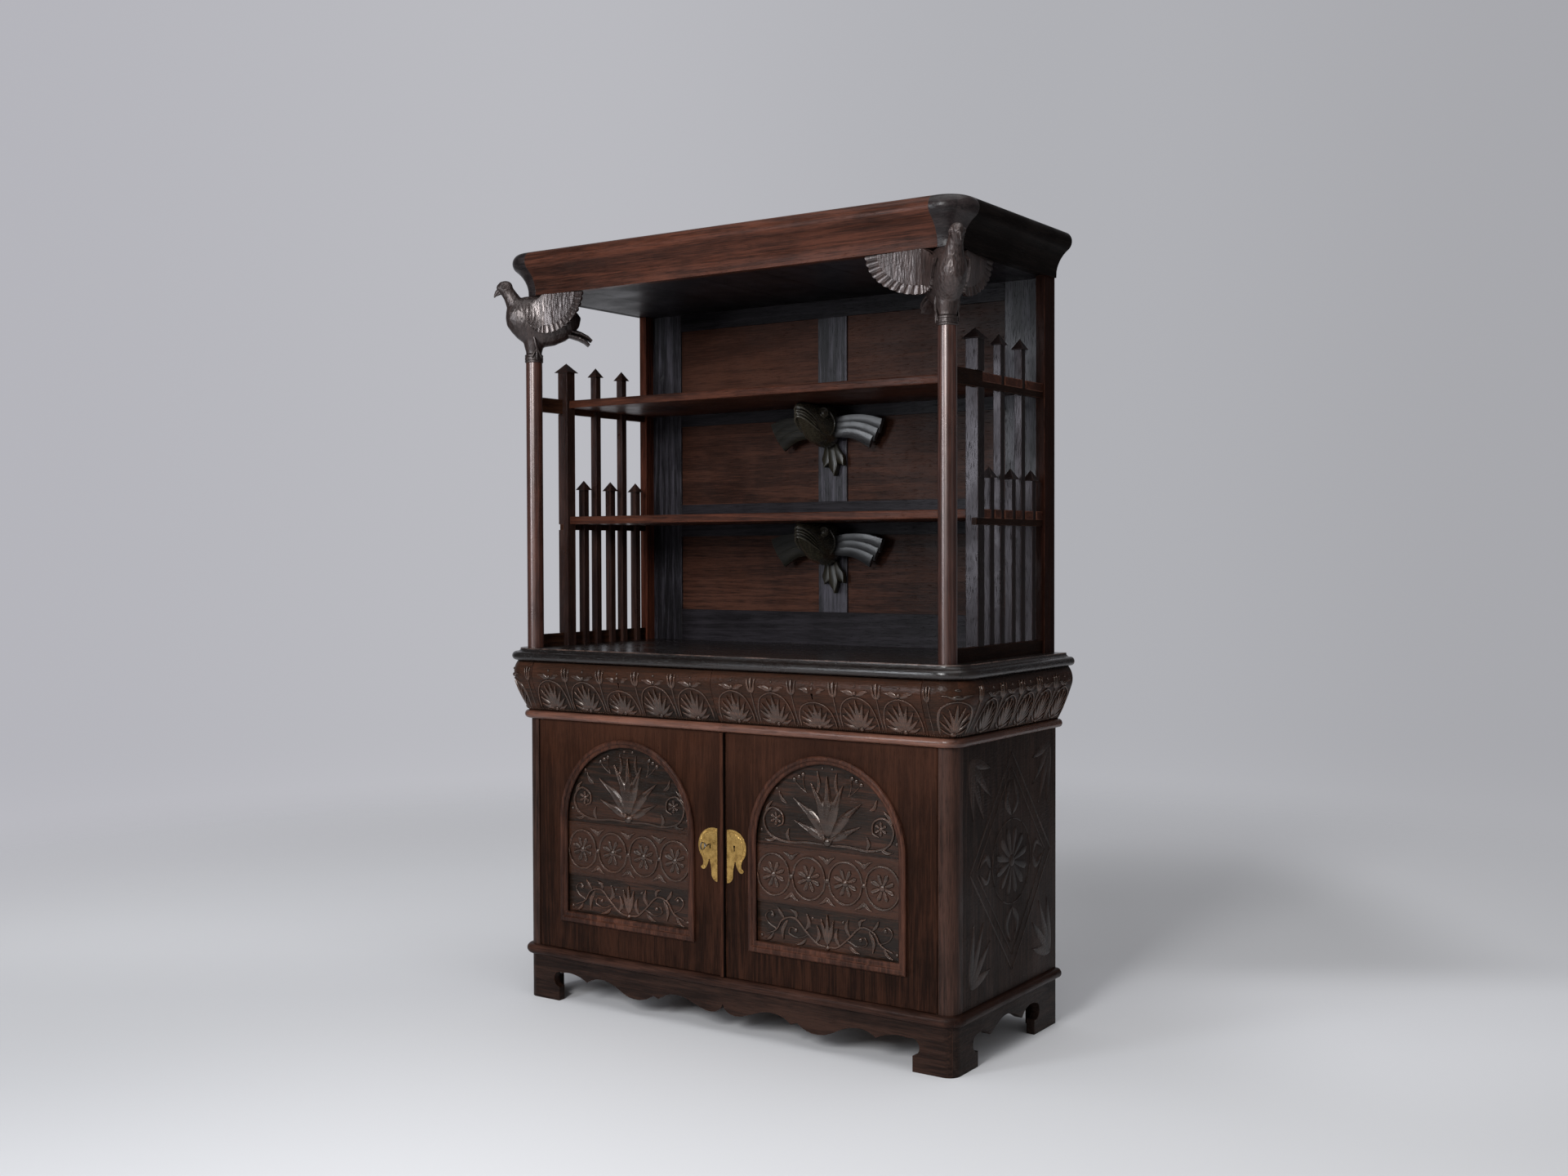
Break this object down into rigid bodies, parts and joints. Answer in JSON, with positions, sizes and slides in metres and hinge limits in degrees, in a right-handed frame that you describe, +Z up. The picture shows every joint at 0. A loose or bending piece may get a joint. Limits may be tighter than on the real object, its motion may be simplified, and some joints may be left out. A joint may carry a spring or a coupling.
{
  "type": "display cupboard",
  "caption": "Tall oak cupboard with arched doors, bulged drawers, a moulded counter, columns with bird capitals, picket sides, shelves and a hollow cornice.",
  "frame": {"origin": "middle of the underside of the bounding box, on the floor", "axes": "+X to the right seen from the front, +Y to the back, +Z up"},
  "size_m": [1.441, 0.6178, 2.05],
  "materials": {
    "oak_brown": "dark brown stained and waxed oak",
    "oak_red": "red brown stained and waxed oak, worn along the edges",
    "oak_carved": "carved oak, stained dark and waxed",
    "oak_black": "blue black stained oak with an open grain",
    "oak_inside": "plain unpolished oak",
    "waxed_carving": "carved wood, dark waxed, like bronze",
    "fish_carving": "carved wood, dark olive wax",
    "old_brass": "aged brass sheet",
    "steel": "plain old steel"
  },
  "bodies": {
    "cabinet": {"back_apron": "oak_inside", "back_muntins": "oak_black", "back_panels": "oak_red", "back_posts": "oak_red", "back_rails": "oak_black", "back_stiles": "oak_black", "base_moulding": "oak_red", "bead_moulding": "oak_red", "bird_left": "waxed_carving", "bird_right": "waxed_carving", "bird_wings": "waxed_carving", "bottom_board": "oak_inside", "bottom_side_rails": "oak_red", "carcass_back": "oak_inside", "column_collars": "waxed_carving", "column_left": "oak_red", "column_right": "oak_red", "corner_posts": "oak_brown", "cornice_corners": "oak_brown", "cornice_front": "oak_red", "cornice_sides": "oak_red", "counter_top": "oak_black", "door_pins": "steel", "drawer_divider": "oak_inside", "drawer_guides": "oak_inside", "dust_board": "oak_inside", "fish_bracket_lower": "fish_carving", "fish_bracket_upper": "fish_carving", "foot_blocks": "oak_inside", "frieze_corners": "oak_brown", "frieze_sides": "oak_brown", "front_apron": "oak_brown", "gate_posts": "oak_brown", "inner_shelf": "oak_inside", "lower_bearers": "oak_red", "lower_shelf": "oak_red", "pickets": "oak_brown", "shelf_bearers": "oak_inside", "side_aprons": "oak_brown", "side_panels": "oak_brown", "soffit_boards": "oak_black", "top_boards": "oak_inside", "upper_shelf": "oak_red", "upper_side_rails": "oak_red"},
    "left_drawer": {"drawer_front_left": "oak_red", "drawer_tray_left": "oak_inside"},
    "right_drawer": {"drawer_front_right": "oak_red", "drawer_tray_right": "oak_inside"},
    "left_door": {"door_leaf_left": "oak_red", "arch_moulding_left": "oak_red", "arched_panel_left": "oak_carved", "meeting_strip": "oak_red", "lock_plate_left": "old_brass", "lock_case": "steel"},
    "right_door": {"door_leaf_right": "oak_red", "arch_moulding_right": "oak_red", "arched_panel_right": "oak_carved", "lock_plate_right": "old_brass"},
    "bolt": {"lock_bolt": "steel"},
    "door_key": {"key": "steel"}
  },
  "joints": [
    {"name": "left_drawer_slide", "type": "slide", "parent": "cabinet", "child": "left_drawer", "axis": [0, -1, 0], "range_m": [0, 0.33]},
    {"name": "right_drawer_slide", "type": "slide", "parent": "cabinet", "child": "right_drawer", "axis": [0, -1, 0], "range_m": [0, 0.33]},
    {"name": "left_door_hinge", "type": "hinge", "parent": "cabinet", "child": "left_door", "pos_m": [-0.6175, -0.24011, 0.46], "axis": [0, 0, -1], "range_deg": [0, 95]},
    {"name": "right_door_hinge", "type": "hinge", "parent": "cabinet", "child": "right_door", "pos_m": [0.6175, -0.24011, 0.46], "axis": [0, 0, 1], "range_deg": [0, 95]},
    {"name": "key_turn", "type": "hinge", "parent": "left_door", "child": "door_key", "pos_m": [-0.037, -0.24711, 0.483], "axis": [0, 1, 0], "range_deg": [0, 180]},
    {"name": "bolt_slide", "type": "slide", "parent": "left_door", "child": "bolt", "axis": [1, 0, 0], "range_m": [0, 0.014]}
  ],
  "couplings": [
    {"joint": "bolt_slide", "follows": "key_turn", "m_per_rad": 0.0044563}
  ]
}
